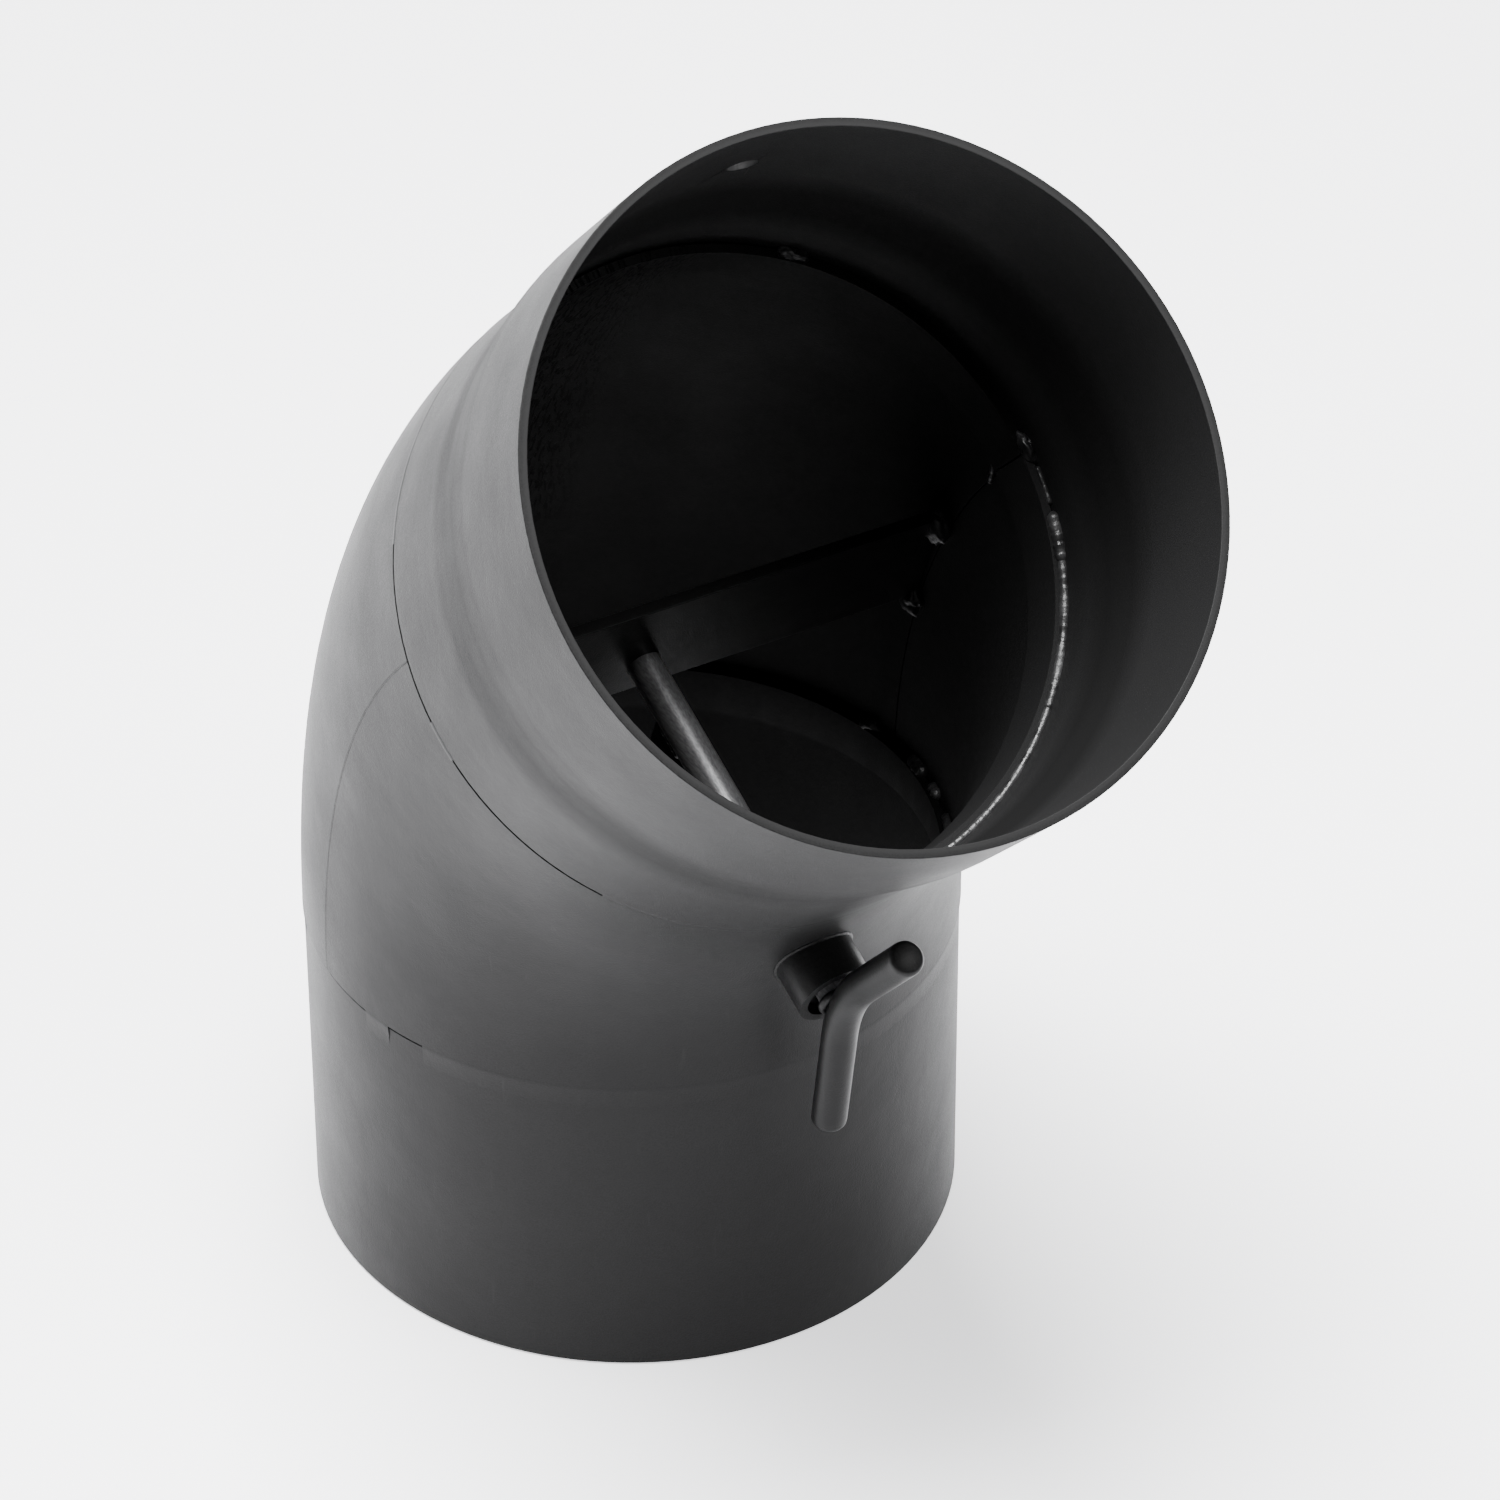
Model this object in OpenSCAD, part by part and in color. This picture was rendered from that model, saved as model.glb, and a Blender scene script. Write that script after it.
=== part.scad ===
// Stove-pipe elbow with a damper, in 2 mm sheet steel.
//
// Frame: the origin is the centre of the lower pipe's bottom edge and +Z runs up the lower pipe.
// The duct bends towards +X, so the X-Z plane is its plane of symmetry. +Y is its left side.
// The inside of the bend is the throat and the outside is the heel.
// The spindle crosses the throat at the middle of the bend, at right angles to the duct.

/* [Duct] */
// Outside diameter of the plain lower pipe
pipe_od = 150; // [130:1:170]
// Thickness of the sheet steel
wall = 2; // [1.5:0.1:2.5]
// Height of the lower pipe up to the seam under the bend
pipe_len = 80; // [70:1:120]
// Centreline radius of the bend
bend_r = 155; // [145:1:180]
// Angle through which the duct turns
bend_angle = 45; // [40:1:50]

/* [Joints in the duct] */
// How far the bend and the collar stand proud of the lower pipe's outside
proud = 0.3; // [0.1:0.1:0.6]
// Radial gap between a necked lip and the piece around it
lip_gap = 0.6; // [0.5:0.1:1]
// Height of the lower pipe's necked lip, inside the bend
lower_lip_len = 10; // [8:1:16]
// Height of the bend's necked lip, inside the collar
upper_lip_len = 14; // [8:1:18]
// Width of the open line at the outside of each round seam
seam_gap = 0.6; // [0.4:0.1:1.2]
// Width of the lengthwise seam between the heel and throat shells
shell_gap = 0.5; // [0.3:0.1:1]
// How far that seam lies from the middle of the duct, towards the heel
split_shift = 6; // [0:0.5:12]
// Radius of the weld beads inside the duct
bead_r = 1.7; // [1:0.1:1.9]

/* [Collar] */
// Length of the collar's axis from the end of the curve to the rim
collar_len = 91; // [80:1:120]
// Where the collar starts to swell
swage_start = 30; // [26:1:36]
// Length of the swell
swage_len = 24; // [16:1:30]
// Radial room in the socket for the next pipe
socket_room = 0.75; // [0.5:0.05:1]
// Diameter of the fixing-screw hole
screw_hole_d = 7; // [4:0.5:8]
// Distance of the screw hole's centre below the rim
screw_hole_drop = 25; // [15:1:30]
// Angle of the screw hole around the collar from the throat side
screw_hole_angle = 174; // [150:1:210]

/* [Bearing bar] */
// Width of the flat bar, along the duct
bar_w = 30; // [24:1:34]
// Thickness of the flat bar
bar_t = 3; // [2:0.5:4]
// Distance of the bar's middle plane from the centreline, towards the heel
bar_setback = 8; // [7:0.5:12]
// Distance of the bar's middle above the spindle
bar_rise = 6; // [0:0.5:8]

/* [Spindle] */
// Diameter of the spindle and of the handle's rod
rod_d = 8; // [6:0.5:10]
// Distance of the spindle's axis past the middle of the bend, towards the mouth
spindle_rise = 4.5; // [0:0.5:8]
// Radial running clearance of the spindle in its two holes
running_gap = 0.06; // [0.02:0.01:0.1]
// Length of the spindle behind the centreline, through the bar
spindle_tail = 17; // [16:0.5:20]

/* [Bush and spring] */
// Outside diameter of the bush
bush_od = 18; // [16:0.5:22]
// Bore of the bush
bush_id = 14; // [13:0.5:15]
// Distance of the bush's outer end from the centreline
bush_reach = 86; // [84:0.5:87]
// Wire diameter of the friction spring
spring_wire = 1; // [0.8:0.1:1.2]
// Turns of the friction spring
spring_turns = 2; // [1:1:2]

/* [Handle] */
// Distance of the handle's bend from the centreline
handle_reach = 90.2; // [90:0.1:94]
// Radius of the handle's bend
handle_bend_r = 40; // [20:1:45]
// How far the upper arm leans away from the duct, in degrees
upper_lean = 20; // [10:1:22]
// How far the lower arm leans away from the duct, in degrees
lower_lean = 13; // [8:1:18]
// Straight length of the upper arm
upper_arm = 27.5; // [20:0.5:34]
// Straight length of the lower arm
lower_arm = 27.5; // [20:0.5:38]

/* [Blade] */
// Radius of the blade's round edge, from the centreline
blade_r = 69; // [60:1:70]
// Thickness of the blade
blade_t = 2; // [1.5:0.5:3]
// Distance of the blade's inner edge from the centreline
blade_start = 4; // [2:0.5:20]
// Radius of the blade's inner lower corner
blade_corner_r = 14; // [6:1:20]

/* [Hidden] */
$fn = 96;
round_fn = 180;

// Radii of the duct pieces
pipe_r = pipe_od / 2;
pipe_bore_r = pipe_r - wall;
body_r = pipe_r + proud;
body_bore_r = body_r - wall;
lip_r = body_bore_r - lip_gap;
lip_bore_r = lip_r - wall;
socket_r = pipe_r + socket_room;
rim_r = socket_r + wall;
// Height over which a wall steps inwards to become a lip
neck_h = 3;
swage_steps = 16;

// Where the half-shell ends meet the lengthwise weld, which stops short of the inside
seam_weld_depth = 1.3;

// Weld beads inside the round joints: the throat half is a run, the heel half is tacks
bead_ring_r = lip_r;
lower_bead_half = 86;
upper_bead_half = 84;
lower_tack_angles = [104, 150, 210, 256];
upper_tack_angles = [96, 150, 210, 264];
tack_r = 1.8;

// Damper sizes, along the spindle from the duct's centreline, outwards positive
rod_r = rod_d / 2;
bar_half_len = body_bore_r - 1.2;
bar_back = -bar_setback - bar_t / 2;
washer_t = 1.6;
washer_gap = 0.3;
bar_washer_od = 16;
pin_d = 2;
pin_len = 15;
pin_eye_r = 2.4;
pin_s = bar_back - washer_gap - washer_t - pin_d / 2 - 0.2;
spring_washer_s = 81.6;
spring_mean_r = bush_id / 2 - spring_wire / 2 - 0.5;
spring_start = body_r + 2.4;
spring_end = spring_washer_s - washer_gap - spring_wire / 2;
rod_chamfer = 0.8;
handle_steps = 12;
rod_sides = 32;
wire_sides = 8;
spring_steps = 24;
blade_weld_r = 1.4;
blade_weld_len = 9;
blade_weld_at = [12, 36, 58];
bush_weld_size = 1;
bar_weld_r = 3.2;
bar_weld_at = [bar_rise - bar_w / 2 - 1.8, bar_rise + bar_w / 2 - 4];

BLACK = [0.16, 0.16, 0.17];
DARK = [0.12, 0.12, 0.13];
WELD = [0.32, 0.32, 0.33];
STEEL = [0.55, 0.55, 0.56];

// ---- placing ----

// Local +Z is the duct's direction at this angle of the bend and local +X points at the throat.
module at_bend(angle) {
    translate([bend_r, 0, pipe_len])
        rotate([0, angle, 0])
            translate([-bend_r, 0, 0])
                children();
}

// Local origin on the duct's centreline beside the spindle, with local +X along the spindle.
module at_spindle() {
    at_bend(bend_angle / 2)
        translate([0, 0, spindle_rise])
            children();
}

// Turns a shape that stands on +Z so that it runs along +X from this distance.
module along_x(from) {
    translate([from, 0, 0])
        rotate([0, 90, 0])
            children();
}

// Sweeps a flat profile round the bend, back from its upper end, so that it meets what stands there.
// The profile's +X is the heel and its +Y is the right side.
module bend_sweep() {
    at_bend(bend_angle)
        translate([bend_r, 0, 0])
            mirror([1, 0, 0])
                rotate([90, 0, 0])
                    rotate_extrude(angle = bend_angle, start = -bend_angle, $fn = 360)
                        translate([bend_r, 0])
                            children();
}

// ---- shared shapes ----

// Points round a circle in the plane of two unit vectors
function ring(centre, u, v, r, sides) = [
    for (i = [0 : sides - 1])
        let (a = 360 * i / sides)
        centre + r * cos(a) * u + r * sin(a) * v
];

// A closed rod with its skin drawn through a list of rings, which all have the same count of points
module tube_through(rings) {
    n = len(rings[0]);
    last = len(rings) - 1;
    start_cap = [for (j = [0 : n - 1]) j];
    end_cap = [for (j = [n - 1 : -1 : 0]) last * n + j];
    sides = [
        for (i = [0 : last - 1], j = [0 : n - 1])
            [i * n + j, (i + 1) * n + j, (i + 1) * n + (j + 1) % n, i * n + (j + 1) % n]
    ];
    polyhedron([for (r = rings) each r], [start_cap, end_cap, each sides]);
}

module washer(outer_r, inner_r, thickness) {
    difference() {
        cylinder(r = outer_r, h = thickness);
        translate([0, 0, -1])
            cylinder(r = inner_r, h = thickness + 2);
    }
}

// The solid that the bend's outside encloses
module bend_outside() {
    bend_sweep()
        circle(r = body_r, $fn = round_fn);
}

// A flat half of the plane on one side of the lengthwise seam
module half_plane(side) {
    edge = split_shift + side * shell_gap / 2;
    translate([side > 0 ? edge : edge - 3 * body_r, -2 * body_r])
        square([3 * body_r, 4 * body_r]);
}

// Part of the bend's section: side is 1 for the heel and -1 for the throat
module half_section(side) {
    intersection() {
        difference() {
            circle(r = body_r, $fn = round_fn);
            circle(r = body_bore_r, $fn = round_fn);
        }
        half_plane(side);
    }
}

// Part of the bend's necked upper end: from the middle of the wall it steps in and rises as a lip
module half_lip(side) {
    middle_r = body_r - wall / 2;
    intersection() {
        rotate_extrude($fn = round_fn)
            polygon([
                [middle_r, -neck_h],
                [middle_r, 0],
                [body_r, 0],
                [lip_r, seam_gap / 2],
                [lip_r, upper_lip_len],
                [lip_bore_r, upper_lip_len],
                [lip_bore_r, -neck_h / 2]
            ]);
        mirror([1, 0, 0])
            translate([0, 0, -neck_h - 1])
                linear_extrude(upper_lip_len + neck_h + 2)
                    half_plane(side);
    }
}

module half_shell(side) {
    bend_sweep()
        half_section(side);
    at_bend(bend_angle)
        half_lip(side);
}

// A run of weld or a set of tacks on the ring where a lip ends
module bead(half_angle) {
    rotate_extrude(angle = 2 * half_angle, start = -half_angle, $fn = round_fn)
        translate([bead_ring_r, 0])
            circle(r = bead_r, $fn = 32);
}

module tacks(angles) {
    for (angle = angles)
        rotate([0, 0, angle])
            translate([bead_ring_r, 0, 0])
                sphere(r = tack_r, $fn = 32);
}

// ---- duct ----

module lower_pipe() {
    top = pipe_len + lower_lip_len;
    color(BLACK)
        rotate_extrude($fn = round_fn)
            polygon([
                [pipe_bore_r, 0],
                [pipe_r, 0],
                [pipe_r, pipe_len - seam_gap],
                [lip_r, pipe_len - 0.2],
                [lip_r, top],
                [lip_bore_r, top],
                [lip_bore_r, pipe_len - seam_gap],
                [pipe_bore_r, pipe_len - seam_gap - neck_h]
            ]);
}

module heel_shell() {
    color(BLACK)
        half_shell(1);
}

module throat_shell() {
    color(BLACK)
        difference() {
            half_shell(-1);
            at_spindle()
                along_x(body_bore_r - 10)
                    cylinder(r = rod_r + running_gap, h = 20);
        }
}

// Radius of the collar's outside at this height: plain, then a smooth swell, then the socket
function collar_r(z) =
    let (t = max(0, min(1, (z - swage_start) / swage_len)))
    body_r + (rim_r - body_r) * (1 - cos(180 * t)) / 2;

function collar_line(inset) = [
    [body_r - inset, seam_gap],
    for (i = [0 : swage_steps])
        let (z = swage_start + swage_len * i / swage_steps)
        [collar_r(z) - inset, z],
    [rim_r - inset, collar_len]
];

function reversed(list) = [for (i = [len(list) - 1 : -1 : 0]) list[i]];

module collar() {
    color(BLACK)
        at_bend(bend_angle)
            difference() {
                rotate_extrude($fn = round_fn)
                    polygon(concat(collar_line(0), reversed(collar_line(wall))));
                rotate([0, 0, screw_hole_angle])
                    translate([0, 0, collar_len - screw_hole_drop])
                        along_x(rim_r - 10)
                            cylinder(d = screw_hole_d, h = 20);
            }
}

// A thin strip that closes the seam from outside: side is 1 for the left (+Y), -1 for the right
module seam_weld(side) {
    color(WELD)
        bend_sweep()
            intersection() {
                difference() {
                    circle(r = body_r, $fn = round_fn);
                    circle(r = body_r - seam_weld_depth, $fn = round_fn);
                }
                translate([split_shift - shell_gap / 2, side > 0 ? -2 * body_r : 0])
                    square([shell_gap, 2 * body_r]);
            }
}

module seam_weld_left() {
    seam_weld(1);
}

module seam_weld_right() {
    seam_weld(-1);
}

module lower_joint_bead() {
    color(WELD)
        translate([0, 0, pipe_len + lower_lip_len])
            bead(lower_bead_half);
}

module lower_joint_tacks() {
    color(WELD)
        translate([0, 0, pipe_len + lower_lip_len])
            tacks(lower_tack_angles);
}

module upper_joint_bead() {
    color(WELD)
        at_bend(bend_angle)
            translate([0, 0, upper_lip_len])
                bead(upper_bead_half);
}

module upper_joint_tacks() {
    color(WELD)
        at_bend(bend_angle)
            translate([0, 0, upper_lip_len])
                tacks(upper_tack_angles);
}

// ---- bearing bar ----

module bearing_bar() {
    color(DARK)
        at_spindle()
            difference() {
                translate([bar_back, -bar_half_len, bar_rise - bar_w / 2])
                    cube([bar_t, 2 * bar_half_len, bar_w]);
                along_x(bar_back - 1)
                    cylinder(r = rod_r + running_gap, h = bar_t + 2);
            }
}

// One nugget of weld at each corner of the bar's end, bedded in the wall without piercing it
module bar_weld(side) {
    color(WELD)
        at_spindle()
            for (z = bar_weld_at)
                translate([-bar_setback, side * (body_r - bar_weld_r - 0.8), z])
                    sphere(r = bar_weld_r, $fn = 48);
}

module bar_weld_left() {
    bar_weld(1);
}

module bar_weld_right() {
    bar_weld(-1);
}

// ---- damper ----

module spindle_bush() {
    color(DARK)
        difference() {
            at_spindle()
                along_x(body_r - 6)
                    washer(bush_od / 2, bush_id / 2, bush_reach - body_r + 6);
            bend_outside();
        }
}

// A low ring of weld that follows the curved wall round the foot of the bush
module bush_weld() {
    color(WELD)
        intersection() {
            bend_sweep()
                circle(r = body_r + bush_weld_size, $fn = round_fn);
            difference() {
                at_spindle()
                    along_x(body_r - 6)
                        washer(bush_od / 2 + bush_weld_size, bush_od / 2, 14);
                bend_outside();
            }
        }
}

// One ring of the handle's rod. The bend's middle, at lean 0, faces the spindle. The ring is
// moved by "along" in the rod's own direction, which points towards the mouth.
function handle_ring(lean, along, r) =
    let (
        way = [sin(lean), 0, cos(lean)],
        across = [cos(lean), 0, -sin(lean)],
        bend = [handle_reach + handle_bend_r * (1 - cos(lean)), 0, handle_bend_r * sin(lean)]
    )
    ring(bend + along * way, across, [0, 1, 0], r, rod_sides);

module handle() {
    total_lean = upper_lean + lower_lean;
    tip_r = rod_r - rod_chamfer;
    color(DARK)
        at_spindle()
            tube_through([
                handle_ring(-lower_lean, -lower_arm, tip_r),
                handle_ring(-lower_lean, rod_chamfer - lower_arm, rod_r),
                for (i = [0 : handle_steps])
                    handle_ring(total_lean * i / handle_steps - lower_lean, 0, rod_r),
                handle_ring(upper_lean, upper_arm - rod_chamfer, rod_r),
                handle_ring(upper_lean, upper_arm, tip_r)
            ]);
}

module spindle() {
    color(STEEL)
        at_spindle()
            difference() {
                along_x(-spindle_tail)
                    cylinder(r = rod_r, h = spindle_tail + handle_reach - rod_r + 0.3);
                translate([pin_s, 0, 0])
                    rotate([90, 0, 0])
                        cylinder(d = pin_d, h = rod_d + 2, center = true);
            }
}

module handle_weld() {
    color(WELD)
        at_spindle()
            along_x(handle_reach - rod_r + 0.8)
                rotate_extrude($fn = 48)
                    translate([rod_r + 0.2, 0])
                        circle(r = 1.3, $fn = 24);
}

// A quarter disc that hangs under the spindle and swings sideways to throttle the duct
module blade_outline() {
    c = blade_start + blade_corner_r;
    floor_z = -sqrt(blade_r * blade_r - c * c);
    difference() {
        intersection() {
            circle(r = blade_r, $fn = round_fn);
            translate([blade_start, -blade_r])
                square([blade_r, blade_r - rod_r - 0.05]);
        }
        difference() {
            translate([blade_start - 1, -blade_r - 1])
                square([blade_corner_r + 1, blade_r + 1 + floor_z + blade_corner_r]);
            translate([c, floor_z + blade_corner_r])
                circle(r = blade_corner_r);
        }
    }
}

module blade() {
    color(BLACK)
        at_spindle()
            rotate([90, 0, 0])
                translate([0, 0, -blade_t / 2])
                    linear_extrude(blade_t)
                        blade_outline();
}

module blade_welds() {
    color(WELD)
        at_spindle()
            for (s = blade_weld_at, side = [-1, 1])
                translate([s - blade_weld_len / 2, side * (blade_t / 2 + 0.4), -rod_r - 0.3])
                    along_x(0)
                        cylinder(r = blade_weld_r, h = blade_weld_len, $fn = 24);
}

module bar_washer() {
    color(STEEL)
        at_spindle()
            along_x(bar_back - washer_gap - washer_t)
                washer(bar_washer_od / 2, rod_r, washer_t);
}

module split_pin() {
    color(STEEL)
        at_spindle()
            translate([pin_s, 0, 0]) {
                rotate([90, 0, 0])
                    cylinder(d = pin_d, h = pin_len, center = true, $fn = 24);
                translate([0, pin_len / 2 + pin_eye_r - pin_d / 2, 0])
                    rotate([0, 90, 0])
                        rotate_extrude($fn = 32)
                            translate([pin_eye_r, 0])
                                circle(d = pin_d * 0.8, $fn = 16);
            }
}

module spring_washer() {
    color(STEEL)
        at_spindle()
            along_x(spring_washer_s)
                washer(bush_id / 2 - 0.3, rod_r, washer_t);
}

// One ring of the spring's wire, at this many turns from its inner end
function spring_ring(turn) =
    let (outwards = [cos(360 * turn), sin(360 * turn), 0])
    ring(
        spring_mean_r * outwards + [0, 0, (spring_end - spring_start) * turn / spring_turns],
        [0, 0, 1],
        outwards,
        spring_wire / 2,
        wire_sides
    );

module friction_spring() {
    color(STEEL)
        at_spindle()
            along_x(spring_start)
                tube_through([
                    for (i = [0 : spring_turns * spring_steps])
                        spring_ring(i / spring_steps)
                ]);
}

lower_pipe();
heel_shell();
throat_shell();
collar();
seam_weld_left();
seam_weld_right();
lower_joint_bead();
lower_joint_tacks();
upper_joint_bead();
upper_joint_tacks();
bearing_bar();
bar_weld_left();
bar_weld_right();
spindle_bush();
bush_weld();
spindle();
blade();
blade_welds();
bar_washer();
split_pin();
spring_washer();
friction_spring();
handle();
handle_weld();
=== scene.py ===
"""Flue elbow with a damper: paint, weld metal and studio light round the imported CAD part.

All positions are in metres in the CAD frame: the origin is the centre of the lower pipe's bottom
edge, +Z is up and the duct bends towards +X, so left is the +Y side. Ring angles are counted
round the duct in degrees from the throat, the inside of the bend, towards +Y.
"""

from math import cos, pi, radians, sin, tau

import bpy
from mathutils import Matrix, Vector, noise

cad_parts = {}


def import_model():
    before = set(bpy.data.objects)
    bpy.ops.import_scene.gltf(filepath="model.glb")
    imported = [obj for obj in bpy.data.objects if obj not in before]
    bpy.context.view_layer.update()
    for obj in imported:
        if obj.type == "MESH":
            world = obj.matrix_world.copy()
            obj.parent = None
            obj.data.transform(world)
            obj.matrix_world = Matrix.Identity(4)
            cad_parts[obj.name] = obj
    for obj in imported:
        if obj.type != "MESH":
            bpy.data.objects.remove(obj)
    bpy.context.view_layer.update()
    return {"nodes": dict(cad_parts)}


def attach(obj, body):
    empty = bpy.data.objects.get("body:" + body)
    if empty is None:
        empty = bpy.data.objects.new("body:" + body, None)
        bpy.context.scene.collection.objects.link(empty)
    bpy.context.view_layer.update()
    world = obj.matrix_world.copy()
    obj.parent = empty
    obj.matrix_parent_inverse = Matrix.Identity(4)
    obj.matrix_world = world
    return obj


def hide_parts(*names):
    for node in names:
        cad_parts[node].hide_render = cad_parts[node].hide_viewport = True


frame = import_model()
NODES = frame["nodes"]

MM = 0.001

# The duct, as in the CAD. BODY_R is the outside of the bend, and LIP_R the outside of the two
# lips that enter the next piece.
BEND_R = 155 * MM
PIPE_LEN = 80 * MM
BEND_ANGLE = 45
BODY_R = 75.3 * MM
LIP_R = 72.7 * MM
LOWER_LIP_TOP = 90 * MM
UPPER_LIP_TOP = 14 * MM

# The layer within the wall where the inside's colour, darkened as painted shade, gives way to the
# outside's, and how much the collar's wall swells outwards towards the mouth
WALL_OUT = 74.3 * MM
WALL_IN = 73.9 * MM
SWELL = 2.45 * MM

# The spindle and what is on it
SPINDLE_RISE = 4.5 * MM
ROD_R = 4 * MM
BUSH_R = 9 * MM
BAR_SETBACK = 8 * MM
HANDLE_REACH = 90.2 * MM
HANDLE_BEND_R = 40 * MM
HANDLE_ARM = 27.5 * MM
UPPER_LEAN = 20
LOWER_LEAN = 13

# The handle's softened ends in mm: how far in from the end, and the change in the rod's radius
EDGE_PROFILE = ((0.0, -1.0), (0.12, -0.7), (0.4, -0.35), (0.9, -0.08), (1.6, 0.0))
EDGE_LEN = 1.6 * MM


# ---- placing ----

def at_bend(angle):
    """Local +Z is the duct's direction at this angle of the bend and local +X points at the throat."""
    return (
        Matrix.Translation((BEND_R, 0, PIPE_LEN))
        @ Matrix.Rotation(radians(angle), 4, "Y")
        @ Matrix.Translation((-BEND_R, 0, 0))
    )


def at_spindle():
    """Local origin on the duct's centreline beside the spindle, with local +X along the spindle."""
    return at_bend(BEND_ANGLE / 2) @ Matrix.Translation((0, 0, SPINDLE_RISE))


AT_BOTTOM = Matrix.Identity(4)
AT_TOP = at_bend(BEND_ANGLE)
AT_SPINDLE = at_spindle()


def round_duct(place, radius, height, angle):
    """A point on a ring round the duct."""
    a = radians(angle)
    return place @ Vector((radius * cos(a), radius * sin(a), height))


# ---- meshes ----

def add_mesh(name, vertices, faces, material, body):
    mesh = bpy.data.meshes.new(name)
    mesh.from_pydata(vertices, [], faces)
    mesh.update()
    for polygon in mesh.polygons:
        polygon.use_smooth = True
    mesh.materials.append(material)
    obj = bpy.data.objects.new(name, mesh)
    bpy.context.scene.collection.objects.link(obj)
    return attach(obj, body)


def rod_mesh(centres, radii, up, sides, closed=False):
    """Vertices and faces of a round rod through these centres. up fixes where its first side is."""
    last = len(centres) - 1
    vertices = []
    for i, (centre, radius) in enumerate(zip(centres, radii)):
        before = centres[i - 1] if i or closed else centres[0]
        after = centres[(i + 1) % len(centres)] if i < last or closed else centres[last]
        along = (after - before).normalized()
        across = along.cross(up).normalized()
        other = across.cross(along)
        for j in range(sides):
            a = tau * j / sides
            vertices.append(centre + radius * (cos(a) * across + sin(a) * other))
    rings = len(centres) if closed else last
    faces = []
    for i in range(rings):
        for j in range(sides):
            k = (j + 1) % sides
            n = (i + 1) % len(centres)
            faces.append((i * sides + j, i * sides + k, n * sides + k, n * sides + j))
    if not closed:
        faces.append(tuple(range(sides - 1, -1, -1)))
        faces.append(tuple(last * sides + j for j in range(sides)))
    return vertices, faces


def joined(parts):
    """One list of vertices and one of faces from several."""
    vertices = []
    faces = []
    for part_vertices, part_faces in parts:
        start = len(vertices)
        vertices += part_vertices
        faces += [tuple(start + i for i in face) for face in part_faces]
    return vertices, faces


def bead_mesh(centres, radius, up, pitch=2.2 * MM, seed=0.0, sides=14):
    """A run of weld with the ripples of a moving pool, and round ends."""
    lengths = [0.0]
    for a, b in zip(centres, centres[1:]):
        lengths.append(lengths[-1] + (b - a).length)
    total = lengths[-1]
    radii = []
    for centre, at in zip(centres, lengths):
        ripple = (at / pitch) % 1.0
        wander = noise.noise(centre * 160 + Vector((seed, 0, 0)))
        end = min(at, total - at) / radius
        taper = min(1.0, max(0.05, end * (2 - end))) ** 0.5 if end < 1 else 1.0
        radii.append(radius * taper * (0.93 + 0.12 * ripple ** 1.6 + 0.16 * wander))
    return rod_mesh(centres, radii, up, sides)


def arc(place, radius, height, start, stop, step=0.25):
    """Points on a ring round the duct between two ring angles."""
    count = max(4, round((stop - start) / step))
    return [
        round_duct(place, radius, height, start + (stop - start) * i / count)
        for i in range(count + 1)
    ]


def nugget_mesh(place, sizes, seed, rows=18, columns=28):
    """A lumpy drop of weld metal at a placed frame: a ball with three half-sizes, dented by noise."""
    vertices = []
    for i in range(rows + 1):
        for j in range(columns):
            a = pi * i / rows
            b = tau * j / columns
            way = Vector((sin(a) * cos(b), sin(a) * sin(b), cos(a)))
            lump = 1 + 0.35 * noise.noise(way * 1.4 + Vector((seed, seed, 0)))
            lump += 0.16 * noise.noise(way * 4 + Vector((0, seed, seed)))
            vertices.append(place @ (lump * Vector(w * s for w, s in zip(way, sizes))))
    faces = []
    for i in range(rows):
        for j in range(columns):
            k = (j + 1) % columns
            below = (i + 1) * columns
            faces.append((i * columns + j, below + j, below + k, i * columns + k))
    return vertices, faces


def on_ring(place, radius, height, angle):
    """A frame on a ring round the duct: X outwards, Y round the ring, Z along the duct."""
    return (
        place
        @ Matrix.Rotation(radians(angle), 4, "Z")
        @ Matrix.Translation((radius, 0, height))
    )


# ---- materials ----

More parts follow.
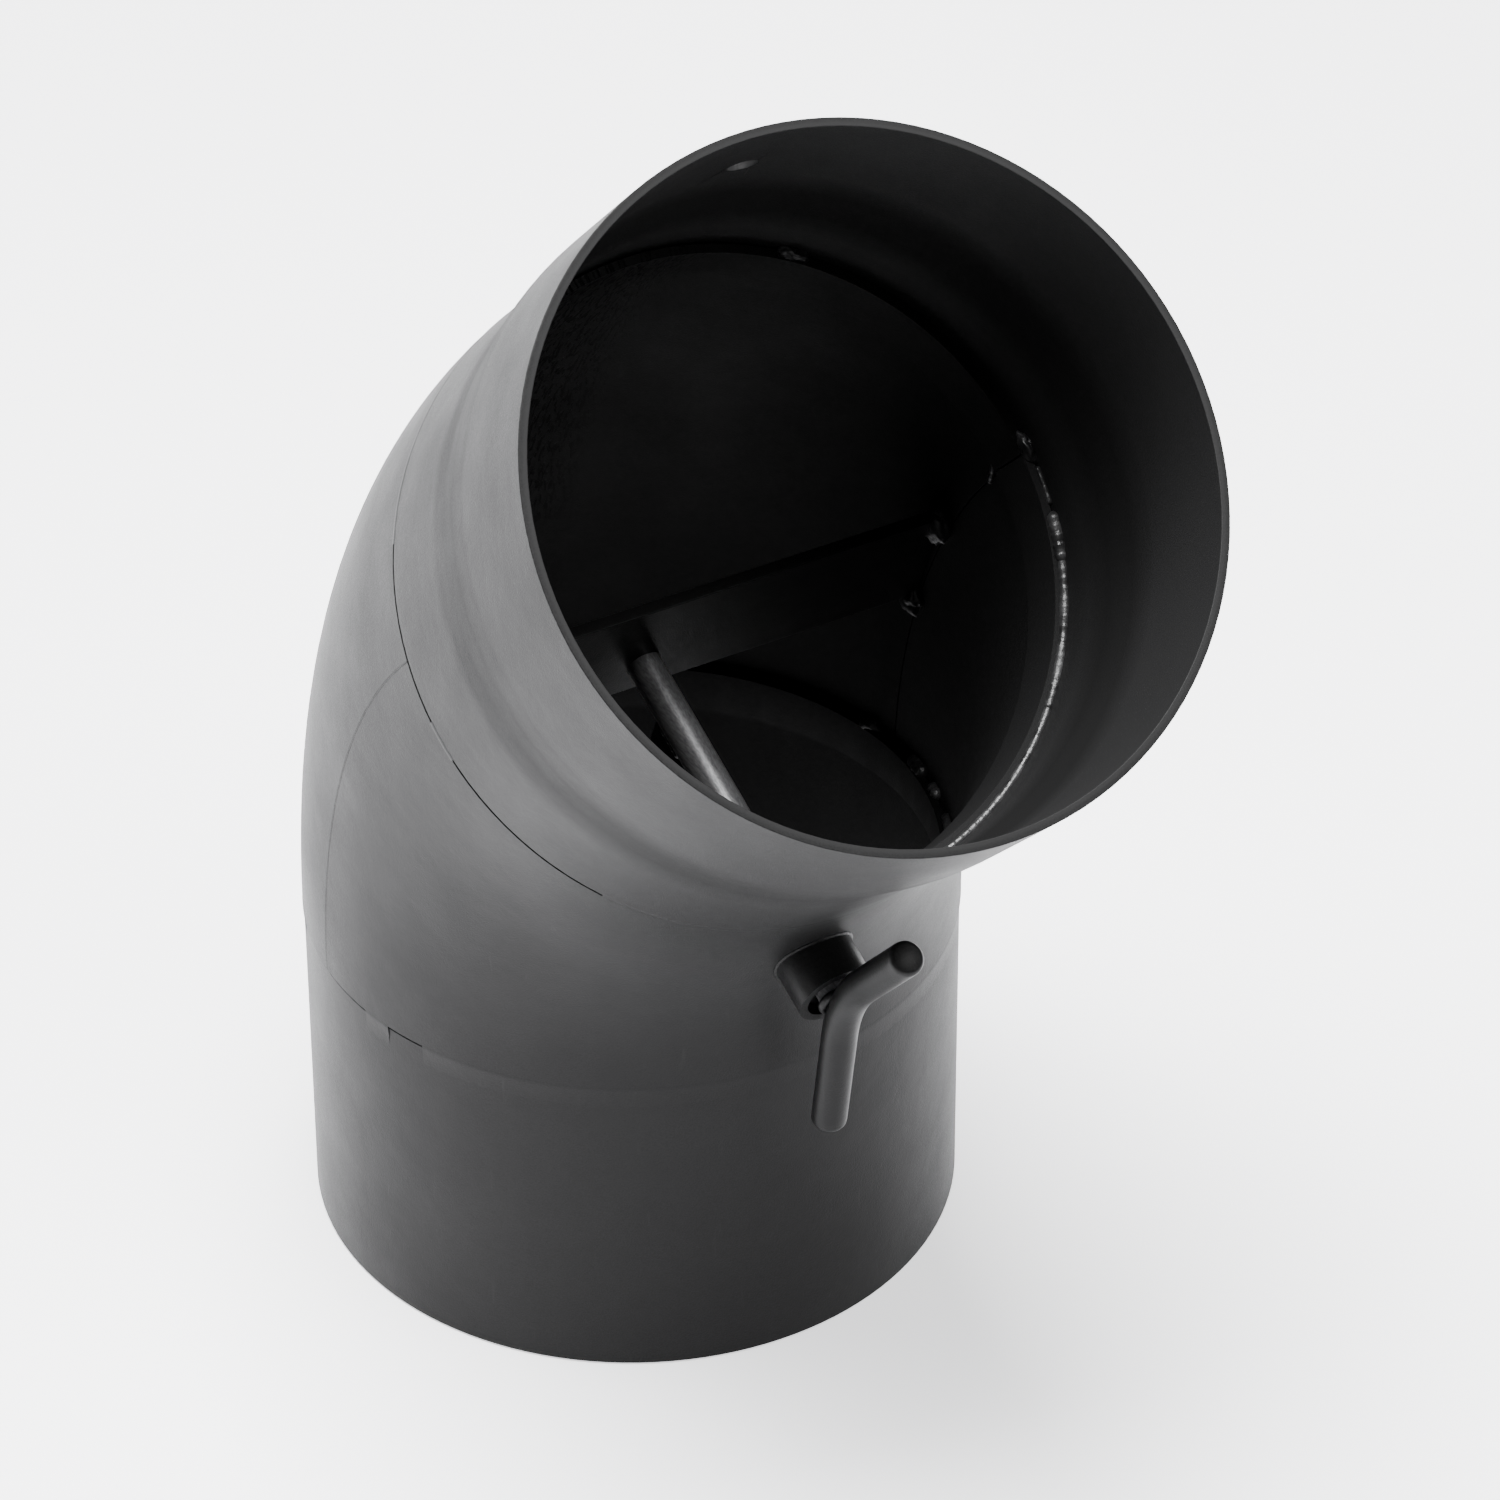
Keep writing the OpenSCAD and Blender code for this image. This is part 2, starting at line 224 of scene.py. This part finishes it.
class Nodes:
    """A material's node tree, built from the base up."""

    def __init__(self, name):
        self.material = bpy.data.materials.new(name)
        self.material.use_nodes = True
        self.tree = self.material.node_tree
        self.shader = self.tree.nodes["Principled BSDF"]
        self.place = self.add("ShaderNodeTexCoord").outputs["Object"]

    def add(self, kind, **settings):
        node = self.tree.nodes.new(kind)
        for key, value in settings.items():
            setattr(node, key, value)
        return node

    def put(self, socket, value):
        """Sets a socket to a plain value, or links an output to it."""
        if isinstance(value, bpy.types.NodeSocket):
            self.tree.links.new(value, socket)
        else:
            socket.default_value = value

    def math(self, operation, a, b=0.0, clamp=False):
        node = self.add("ShaderNodeMath", operation=operation, use_clamp=clamp)
        self.put(node.inputs[0], a)
        self.put(node.inputs[1], b)
        return node.outputs[0]

    def noise(self, scale, detail=3.0, roughness=0.55, place=None):
        node = self.add("ShaderNodeTexNoise")
        self.put(node.inputs["Vector"], place or self.place)
        self.put(node.inputs["Scale"], scale)
        self.put(node.inputs["Detail"], detail)
        self.put(node.inputs["Roughness"], roughness)
        return node.outputs["Fac"]

    def spread(self, value, low, high, to_low=0.0, to_high=1.0):
        """Stretches the part of value between low and high to a new range, clamped."""
        node = self.add("ShaderNodeMapRange")
        self.put(node.inputs["Value"], value)
        self.put(node.inputs["From Min"], low)
        self.put(node.inputs["From Max"], high)
        self.put(node.inputs["To Min"], to_low)
        self.put(node.inputs["To Max"], to_high)
        return node.outputs["Result"]

    def blend(self, factor, a, b):
        node = self.add("ShaderNodeMix", data_type="RGBA")
        self.put(node.inputs["Factor"], factor)
        self.put(node.inputs["A"], a)
        self.put(node.inputs["B"], b)
        return node.outputs["Result"]

    def bump(self, height, distance, normal=None):
        node = self.add("ShaderNodeBump")
        self.put(node.inputs["Height"], height)
        self.put(node.inputs["Distance"], distance)
        if normal:
            self.put(node.inputs["Normal"], normal)
        return node.outputs["Normal"]


def grey(value):
    """A grey that is very slightly cool."""
    return (value, value, value * 1.02, 1.0)


def length(n, a, b):
    return n.math("SQRT", n.math("ADD", n.math("POWER", a, 2.0), n.math("POWER", b, 2.0)))


def split(n, vector):
    node = n.add("ShaderNodeSeparateXYZ")
    n.put(node.inputs[0], vector)
    return node.outputs


def pipe_inside(n):
    """1 on the inside of the lower pipe, 0 on its outside."""
    x, y, _ = split(n, n.place)
    return n.spread(length(n, x, y), WALL_OUT, WALL_IN)


def in_collar(n):
    """Coordinates in the collar's own frame, with Z along it from the upper round joint."""
    shift = n.add("ShaderNodeMapping", vector_type="TEXTURE")
    n.put(shift.inputs["Vector"], n.place)
    shift.inputs["Location"].default_value = AT_TOP.to_translation()
    shift.inputs["Rotation"].default_value = AT_TOP.to_euler()
    return split(n, shift.outputs[0])


def swage_painted_shade(n):
    """1 where the collar's wall swells: the band that is darkened as painted shade and made duller."""
    z = in_collar(n)[2]
    return n.math("MULTIPLY", n.spread(z, 26 * MM, 36 * MM), n.spread(z, 56 * MM, 46 * MM))


def collar_inside(n):
    """1 on the inside of the collar, whose wall swells towards the mouth, 0 on its outside."""
    x, y, z = in_collar(n)
    swell = n.spread(z, 30 * MM, 54 * MM)
    middle = n.math("ADD", n.math("MULTIPLY", swell, SWELL), WALL_OUT)
    return n.spread(n.math("SUBTRACT", length(n, x, y), middle), 0.3 * MM, -0.3 * MM)


def round_bend(n):
    """The turn along the bend, the turn round the duct and the distance from its centreline."""
    x, y, z = split(n, n.place)
    across = n.math("SUBTRACT", BEND_R, x)
    up = n.math("SUBTRACT", z, PIPE_LEN)
    out = n.math("SUBTRACT", length(n, across, up), BEND_R)
    return n.math("ARCTAN2", up, across), n.math("ARCTAN2", y, out), length(n, out, y)


def bend_inside(n):
    """1 on the inside of the bend and 0 on its outside."""
    return n.spread(round_bend(n)[2], WALL_OUT, WALL_IN)


def crease_shade_marks(n):
    """Short dashes along the duct on the inside of the heel, on its -Y side, in the wrinkles that
    pressing the shell left: their dark colour is painted shade in the creases."""
    along, ring, _ = round_bend(n)
    place = n.add("ShaderNodeCombineXYZ")
    n.put(place.inputs[0], n.math("MULTIPLY", along, 55.0))
    n.put(place.inputs[1], n.math("MULTIPLY", ring, 85.0))
    dashes = n.spread(n.noise(1.0, detail=1.0, place=place.outputs[0]), 0.50, 0.60)
    patchy = n.spread(n.noise(24, detail=2.0), 0.34, 0.50)
    one_side = n.spread(ring, 0.3, -0.3)
    dashes = n.math("MULTIPLY", dashes, n.math("MULTIPLY", patchy, one_side))
    return n.math("MULTIPLY", dashes, bend_inside(n))


PAINT_SPECULAR = 0.09


def paint(
    name,
    colour=0.0065,
    roughness=0.44,
    grain=0.00005,
    inside=None,
    inside_light_and_shade=0.0005,
    shade_band=None,
    shade_dashes=False,
):
    """Satin stove paint with a fine grain, uneven sheen and faint scuffs. The inside mask marks the
    inside of the duct, where the coat is duller and takes a dark colour as painted shade, or a less
    dark one as painted light on parts that the key lamp reaches. The band mask marks a band that is
    darkened as painted shade and made duller, and the dash option adds dark dashes of painted shade
    in the pressing wrinkles."""
    n = Nodes(name)
    fine = n.noise(2600, detail=2.0)
    cloud = n.noise(38, detail=4.0)
    scuff_place = n.add("ShaderNodeMapping")
    n.put(scuff_place.inputs["Vector"], n.place)
    scuff_place.inputs["Scale"].default_value = (1.0, 1.0, 0.12)
    scuff_place.inputs["Rotation"].default_value = (0.3, 0.5, 0.2)
    scuff = n.spread(n.noise(420, detail=5.0, place=scuff_place.outputs[0]), 0.66, 0.74)
    sheen = n.math("ADD", n.spread(cloud, 0.3, 0.7, -0.03, 0.04), roughness)
    speckle = n.spread(fine, 0.25, 0.75, -0.05, 0.05)
    dull = n.math("ADD", sheen, speckle, clamp=True)
    base = n.blend(n.spread(fine, 0.3, 0.7), grey(colour * 0.7), grey(colour * 1.35))
    base = n.blend(n.spread(cloud, 0.35, 0.75, 0.0, 0.35), base, grey(colour * 0.75))
    base = n.blend(n.math("MULTIPLY", scuff, 0.25), base, grey(colour * 3.0))
    normal = n.bump(fine, grain)
    normal = n.bump(cloud, 0.0003, normal)
    # Inside the duct: a dark colour as painted shade, or a less dark one as painted light where the
    # key lamp reaches; the coat is also duller there.
    if inside:
        within = inside(n)
        base = n.blend(n.math("MULTIPLY", within, 0.75), base, grey(inside_light_and_shade))
        dull = n.math("ADD", dull, n.math("MULTIPLY", within, 0.14), clamp=True)
    # A band of painted shade: the paint is darkened on it, and also made rougher.
    if shade_band:
        shade_band_mask = shade_band(n)
        dull = n.math("ADD", dull, n.math("MULTIPLY", shade_band_mask, 0.16), clamp=True)
        base = n.blend(n.math("MULTIPLY", shade_band_mask, 0.7), base, grey(colour * 0.2))
    # Dark dashes of painted shade in the pressing wrinkles, also dented a little and made rougher.
    if shade_dashes:
        mask = crease_shade_marks(n)
        base = n.blend(mask, base, grey(0.0002))
        dull = n.math("ADD", dull, n.math("MULTIPLY", mask, 0.3), clamp=True)
        normal = n.bump(n.math("MULTIPLY", mask, -1.0), 0.0004, normal)
    n.put(n.shader.inputs["Roughness"], dull)
    n.put(n.shader.inputs["Base Color"], base)
    n.put(n.shader.inputs["Specular IOR Level"], PAINT_SPECULAR)
    n.put(n.shader.inputs["Normal"], normal)
    return n.material


def weld_metal(name, colour=0.02, roughness=0.26, metallic=0.35):
    """Weld metal under a thin coat of paint: lumpy, and glossier than the sheet."""
    n = Nodes(name)
    lumps = n.noise(900, detail=3.0)
    patches = n.noise(160, detail=2.0)
    n.put(n.shader.inputs["Metallic"], metallic)
    n.put(n.shader.inputs["Roughness"], n.spread(patches, 0.3, 0.7, roughness, roughness + 0.2))
    base = n.blend(n.spread(patches, 0.35, 0.65), grey(colour * 0.5), grey(colour * 1.8))
    n.put(n.shader.inputs["Base Color"], base)
    n.put(n.shader.inputs["Normal"], n.bump(lumps, 0.0002))
    return n.material


def bar_steel(name, colour, roughness, metallic, along):
    """Drawn or turned steel with fine lines: along is the axis that the lines follow."""
    n = Nodes(name)
    stretch = n.add("ShaderNodeMapping")
    n.put(stretch.inputs["Vector"], n.place)
    stretch.inputs["Scale"].default_value = [0.04 if axis == along else 1.0 for axis in "XYZ"]
    lines = n.noise(2200, detail=2.0, place=stretch.outputs[0])
    patches = n.noise(120, detail=3.0)
    n.put(n.shader.inputs["Metallic"], metallic)
    n.put(n.shader.inputs["Roughness"], n.spread(patches, 0.3, 0.7, roughness, roughness + 0.12))
    base = n.blend(n.spread(lines, 0.3, 0.7), grey(colour * 0.7), grey(colour * 1.3))
    n.put(n.shader.inputs["Base Color"], base)
    n.put(n.shader.inputs["Normal"], n.bump(lines, 0.00004))
    return n.material


# The duct's inside colour is painted light and shade: dark as painted shade inside the pipe and the
# heel, less dark as painted light inside the collar and the throat, which the key lamp reaches.
PIPE_PAINT = paint("pipe_paint", inside=pipe_inside)
COLLAR_PAINT = paint(
    "collar_paint",
    inside=collar_inside,
    inside_light_and_shade=0.011,
    # the darker band where the wall swells is painted shade
    shade_band=swage_painted_shade,
)
THROAT_PAINT = paint("throat_paint", inside=bend_inside, inside_light_and_shade=0.010)
# The heel's inside carries dashes of painted shade in its pressing wrinkles.
HEEL_PAINT = paint("heel_paint", inside=bend_inside, shade_dashes=True)
SEAM_PAINT = paint("seam_paint", colour=0.008, roughness=0.45, grain=0.00012)
INNER_PAINT = paint("inner_paint", colour=0.004, roughness=0.42)
HANDLE_PAINT = paint("handle_paint", colour=0.006, roughness=0.34, grain=0.00004)
FILLET_PAINT = paint("fillet_paint", colour=0.006, roughness=0.38, grain=0.0001)
# The spring washer and the coil, deep in the bush, get a near-black colour as painted shade of the
# recess.
RECESS_SHADE_BLACK = paint("spring_recess_shade", colour=0.004, roughness=0.42)
WELD = weld_metal("bead_metal")
SPINDLE_STEEL = bar_steel("round_bar", 0.12, 0.3, 0.6, "X")
ZINC = bar_steel("zinc_plate", 0.45, 0.3, 1.0, "Z")

CAD_MATERIALS = {
    "lower_pipe": PIPE_PAINT,
    "heel_shell": HEEL_PAINT,
    "throat_shell": THROAT_PAINT,
    "collar": COLLAR_PAINT,
    "seam_weld_left": SEAM_PAINT,
    "seam_weld_right": SEAM_PAINT,
    "bearing_bar": INNER_PAINT,
    "blade": INNER_PAINT,
    "spindle_bush": HANDLE_PAINT,
    "spindle": SPINDLE_STEEL,
    "bar_washer": ZINC,
    "spring_washer": RECESS_SHADE_BLACK,
    "split_pin": ZINC,
}


def finish_cad(name, material):
    """Paints a CAD node, and breaks its sharp edges by a hair so that they catch the light."""
    obj = NODES[name]
    obj.data.materials.clear()
    obj.data.materials.append(material)
    weld = obj.modifiers.new("join_faces", "WELD")
    weld.merge_threshold = 0.002 * MM
    bevel = obj.modifiers.new("broken_edges", "BEVEL")
    bevel.width = 0.22 * MM
    bevel.segments = 2
    bevel.limit_method = "ANGLE"
    bevel.angle_limit = radians(40)
    normals = obj.modifiers.new("even_shading", "WEIGHTED_NORMAL")
    normals.weight = 100


for node_name, node_material in CAD_MATERIALS.items():
    finish_cad(node_name, node_material)


def add_piece(name, parts, material, body, *stands_for):
    """A visible piece that rides this body, in place of the CAD nodes that it stands for."""
    obj = add_mesh(name, *joined(parts), material, body)
    if stands_for:
        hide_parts(*stands_for)
    return obj


# ---- weld runs and tacks of the two round joints ----

# The duct's direction at each joint
UP_TOP = (AT_TOP.to_3x3() @ Vector((0, 0, 1))).normalized()
UP_BOTTOM = Vector((0, 0, 1))


def runs(name, place, up, radius, height, thickness, spans, stands_for):
    """Runs of weld round a lip. spans holds each run's first and last ring angles, and thickness
    its radius in mm."""
    parts = [
        bead_mesh(arc(place, radius, height, start, stop), thick * MM, up, seed=start)
        for (start, stop), thick in zip(spans, thickness)
    ]
    add_piece(name, parts, WELD, "elbow", stands_for)


runs(
    "upper_bead",
    AT_TOP,
    UP_TOP,
    LIP_R + 0.25 * MM,
    UPPER_LIP_TOP - 0.1 * MM,
    (1.0, 1.25, 1.9, 0.8),
    ((-84.0, 50.0), (48.0, 76.0), (74.5, 83.8), (85.0, 92.0)),
    "upper_joint_bead",
)
runs(
    "lower_bead",
    AT_BOTTOM,
    UP_BOTTOM,
    LIP_R + 0.2 * MM,
    LOWER_LIP_TOP,
    (1.2, 1.3, 1.2, 1.6, 1.9),
    ((-86.0, -30.0), (-28.0, 30.0), (32.0, 70.0), (75.0, 79.5), (82.0, 88.5)),
    "lower_joint_bead",
)


def tacks(name, place, height, angles, stands_for):
    """Short drops of weld on a lip, one at each ring angle."""
    parts = [
        nugget_mesh(
            on_ring(place, LIP_R - 0.1 * MM, height, angle),
            (1.9 * MM, 3.6 * MM, 2.0 * MM),
            seed=angle,
        )
        for angle in angles
    ]
    add_piece(name, parts, WELD, "elbow", stands_for)


tacks("upper_tacks", AT_TOP, UPPER_LIP_TOP, (95.8, 150, 210, 264), "upper_joint_tacks")
tacks("lower_tacks", AT_BOTTOM, LOWER_LIP_TOP, (101, 150, 210, 256), "lower_joint_tacks")


# ---- ground bands: outside, most of each round seam is filled and ground flush ----

def ground_band(name, place, profile, spans, material):
    """Strips of a surface of revolution. profile is (height, radius) in mm."""
    parts = []
    for start, stop in spans:
        count = round(abs(stop - start))
        vertices = [
            round_duct(place, radius * MM, height * MM, start + (stop - start) * i / count)
            for i in range(count + 1)
            for height, radius in profile
        ]
        rows = len(profile)
        faces = [
            (i * rows + j, (i + 1) * rows + j, (i + 1) * rows + j + 1, i * rows + j + 1)
            for i in range(count)
            for j in range(rows - 1)
        ]
        parts.append((vertices, faces))
    add_piece(name, parts, material, "elbow")


LOWER_BAND = ((74.5, 74.98), (76.0, 75.03), (77.5, 75.12), (79.0, 75.25), (79.9, 75.33), (81.0, 75.2))
UPPER_BAND = ((-0.9, 75.2), (-0.4, 75.32), (0.3, 75.34), (1.0, 75.32), (1.6, 75.2))
ground_band("lower_seam_filling", AT_BOTTOM, LOWER_BAND, ((-81, -75), (-67, 250)), PIPE_PAINT)
ground_band("upper_seam_filling", AT_TOP, UPPER_BAND, ((-84, -77), (-44, 246)), COLLAR_PAINT)


# ---- end welds of the bearing bar, and the crease above its left end ----

def bar_welds(side, name, stands_for):
    """Two drops where the bar's end meets the wall. side is 1 on the left and -1 on the right."""
    parts = []
    for rise, size in ((-11 * MM, 3.8 * MM), (18 * MM, 4.2 * MM)):
        spot = Matrix.Translation((-BAR_SETBACK + 1.2 * MM, side * 71.6 * MM, rise))
        sizes = (size, size * 0.62, size * 0.9)
        parts.append(nugget_mesh(AT_SPINDLE @ spot, sizes, seed=rise * 900 + side))
    add_piece(name, parts, WELD, "elbow", stands_for)


bar_welds(1, "bar_weld_blobs_left", "bar_weld_left")
bar_welds(-1, "bar_weld_blobs_right", "bar_weld_right")


def crease_point(t):
    """A point on the crease, with t from 0 at its upper end to 1 at its lower end."""
    return at_bend(44.6 - 3.4 * t) @ Vector(((-10 + 4.5 * t) * MM, (72.7 + 0.3 * t) * MM, 0))


CREASE_STEPS = 40
crease = [crease_point(i / CREASE_STEPS) for i in range(CREASE_STEPS + 1)]
add_piece("wall_crease", [bead_mesh(crease, 0.8 * MM, UP_BOTTOM, seed=5.0)], WELD, "elbow")


# ---- bush weld: a fillet that follows the saddle where the bush meets the throat ----

def on_throat(y, z):
    """How far out along the spindle the duct's outside is, at this offset from the spindle."""
    rise = z + SPINDLE_RISE
    ring = (BODY_R ** 2 - y ** 2) ** 0.5
    return BEND_R - ((BEND_R - ring) ** 2 - rise ** 2) ** 0.5


def round_bush(radius, angle):
    """A point on the throat's outside, on a ring round the bush."""
    y = radius * sin(angle)
    z = radius * cos(angle)
    return AT_SPINDLE @ Vector((on_throat(y, z), y, z))


FILLET_STEPS = 160
FILLET_R = 0.55 * MM
RIPPLE_STEPS = 5
fillet = [round_bush(BUSH_R + 0.05 * MM, tau * i / FILLET_STEPS) for i in range(FILLET_STEPS)]
fillet_radii = [
    FILLET_R * (0.95 + 0.1 * ((i / RIPPLE_STEPS) % 1.0) + 0.2 * noise.noise(p * 200))
    for i, p in enumerate(fillet)
]
SPINDLE_WAY = (AT_SPINDLE.to_3x3() @ Vector((1, 0, 0))).normalized()
add_piece(
    "bush_fillet",
    [rod_mesh(fillet, fillet_radii, SPINDLE_WAY, 14, closed=True)],
    FILLET_PAINT,
    "elbow",
    "bush_weld",
)


# ---- handle: one bent rod with softened ends ----

def handle_centre(lean, along):
    """A point on the rod's centreline: lean is the turn from the rod's middle, and along how far
    past the end of the bend it is."""
    a = radians(lean)
    x = HANDLE_REACH + HANDLE_BEND_R * (1 - cos(a)) + along * sin(a)
    z = HANDLE_BEND_R * sin(a) + along * cos(a)
    return AT_SPINDLE @ Vector((x, 0, z))


def handle_rod():
    """From the lower end up: a softened end, the lower arm, the bend, the upper arm and its end."""
    lower_steps, bend_steps, upper_steps = 10, 24, 9
    arm = HANDLE_ARM - EDGE_LEN
    lower_end = [(-LOWER_LEAN, -HANDLE_ARM + d * MM) for d, _ in EDGE_PROFILE]
    lower_arm = [(-LOWER_LEAN, -arm * (1 - i / lower_steps)) for i in range(1, lower_steps + 1)]
    bend = [
        (-LOWER_LEAN + (UPPER_LEAN + LOWER_LEAN) * i / bend_steps, 0)
        for i in range(1, bend_steps)
    ]
    upper_arm = [(UPPER_LEAN, arm * i / upper_steps) for i in range(upper_steps + 1)]
    upper_end = [(UPPER_LEAN, HANDLE_ARM - d * MM) for d, _ in reversed(EDGE_PROFILE[:-1])]
    full_width = lower_arm + bend + upper_arm
    centres = [handle_centre(*spot) for spot in lower_end + full_width + upper_end]
    end_radii = [ROD_R + change * MM for _, change in EDGE_PROFILE]
    radii = end_radii + [ROD_R] * len(full_width) + end_radii[-2::-1]
    return rod_mesh(centres, radii, Vector((0, 1, 0)), 48)


add_piece("handle_rod", [handle_rod()], HANDLE_PAINT, "damper", "handle")


def round_spindle(radius, x, count, turns=1.0, rise=0.0):
    """Points on a ring or a coil round the spindle, which starts x along it and climbs by rise."""
    points = []
    for i in range(count):
        a = tau * turns * i / count
        points.append(AT_SPINDLE @ Vector((x + rise * i / count, radius * sin(a), radius * cos(a))))
    return points


HANDLE_WELD_AT = 87.2 * MM
ring = round_spindle(ROD_R + 0.1 * MM, HANDLE_WELD_AT, 72)
ring_radii = [1.0 * MM * (0.95 + 0.2 * noise.noise(p * 400)) for p in ring]
add_piece(
    "handle_fillet",
    [rod_mesh(ring, ring_radii, SPINDLE_WAY, 12, closed=True)],
    FILLET_PAINT,
    "damper",
    "handle_weld",
)

COIL_R = 6.0 * MM
COIL_AT = 77.7 * MM
COIL_WIRE_R = 0.5 * MM
coil = round_spindle(COIL_R, COIL_AT, 160, turns=2.0, rise=3.1 * MM)
# The coil's near-black colour is painted shade of the bush's recess.
add_piece(
    "coil_spring",
    [rod_mesh(coil, [COIL_WIRE_R] * len(coil), SPINDLE_WAY, 12)],
    RECESS_SHADE_BLACK,
    "elbow",
    "friction_spring",
)


# ---- blade welds ----

def blade_weld_runs():
    """Three short runs on each side of the blade, under the spindle. Lengths are in mm."""
    run_len = 9
    steps = 36
    parts = []
    for s in (12, 36, 58):
        for side in (-1, 1):
            line = [
                AT_SPINDLE
                @ Vector(((s + run_len * (i / steps - 0.5)) * MM, side * 1.5 * MM, -4.3 * MM))
                for i in range(steps + 1)
            ]
            parts.append(bead_mesh(line, 1.35 * MM, Vector((0, 1, 0)), seed=s * side))
    return parts


add_piece("blade_weld_runs", blade_weld_runs(), WELD, "damper", "blade_welds")


# ---- stage ----

MIDDLE = (0.03, 0, 0.16)


def area_light(name, place, size, power):
    """A soft box that faces the middle of the elbow."""
    light = bpy.data.lights.new(name, "AREA")
    light.shape = "RECTANGLE"
    light.size, light.size_y = size
    light.energy = power
    obj = bpy.data.objects.new(name, light)
    obj.location = place
    obj.rotation_euler = (Vector(MIDDLE) - Vector(place)).to_track_quat("-Z", "Y").to_euler()
    bpy.context.scene.collection.objects.link(obj)


def floor():
    """A wide pale floor a hair below the elbow, glowing a little so that it stays even."""
    half = 14.0
    corners = [(-half, -half, 0), (half, -half, 0), (half, half, 0), (-half, half, 0)]
    n = Nodes("pale_floor")
    tone = n.noise(3.0, detail=2.0)
    n.put(n.shader.inputs["Base Color"], n.blend(tone, grey(0.86), grey(0.9)))
    n.put(n.shader.inputs["Roughness"], 0.9)
    n.put(n.shader.inputs["Emission Color"], grey(1.0))
    n.put(n.shader.inputs["Emission Strength"], 1.1)
    mesh = bpy.data.meshes.new("floor")
    mesh.from_pydata(corners, [], [(0, 1, 2, 3)])
    mesh.materials.append(n.material)
    obj = bpy.data.objects.new("floor", mesh)
    obj.location.z = -0.4 * MM
    bpy.context.scene.collection.objects.link(obj)


def world():
    """An even, dim white room."""
    w = bpy.data.worlds.new("studio")
    w.use_nodes = True
    background = w.node_tree.nodes["Background"]
    background.inputs["Color"].default_value = (1, 1, 1, 1)
    background.inputs["Strength"].default_value = 0.25
    bpy.context.scene.world = w


floor()
world()
area_light("key_box", (0.0, -0.15, 1.7), (1.0, 1.0), 150)
area_light("left_box", (-0.9, -1.4, 0.9), (1.4, 1.2), 14)
area_light("rim_box", (0.95, 0.64, 1.2), (0.7, 0.7), 14)


# ---- camera ----

CAMERA_AZIMUTH = -29.46
CAMERA_ELEVATION = 36.12
CAMERA_ROLL = -0.22
CAMERA_AIM = (-0.0193, 0.0421, 0.090)
CAMERA_DISTANCE = 1.6443
CAMERA_LENS = 169.95


def camera():
    """The photograph's view. back points from the elbow to the camera."""
    azimuth, elevation, roll = [radians(a) for a in (CAMERA_AZIMUTH, CAMERA_ELEVATION, CAMERA_ROLL)]
    back = Vector(
        (cos(elevation) * cos(azimuth), cos(elevation) * sin(azimuth), sin(elevation))
    )
    level = Vector((0, 0, 1)).cross(back).normalized()
    rise = back.cross(level)
    right = cos(roll) * level + sin(roll) * rise
    up = cos(roll) * rise - sin(roll) * level
    place = Vector(CAMERA_AIM) + CAMERA_DISTANCE * back
    turn = Matrix((right, up, back)).transposed().to_4x4()
    data = bpy.data.cameras.new("camera")
    data.sensor_width = 36.0
    data.lens = CAMERA_LENS
    data.clip_end = 100.0
    obj = bpy.data.objects.new("camera", data)
    obj.matrix_world = Matrix.Translation(place) @ turn
    bpy.context.scene.collection.objects.link(obj)
    bpy.context.scene.camera = obj


camera()
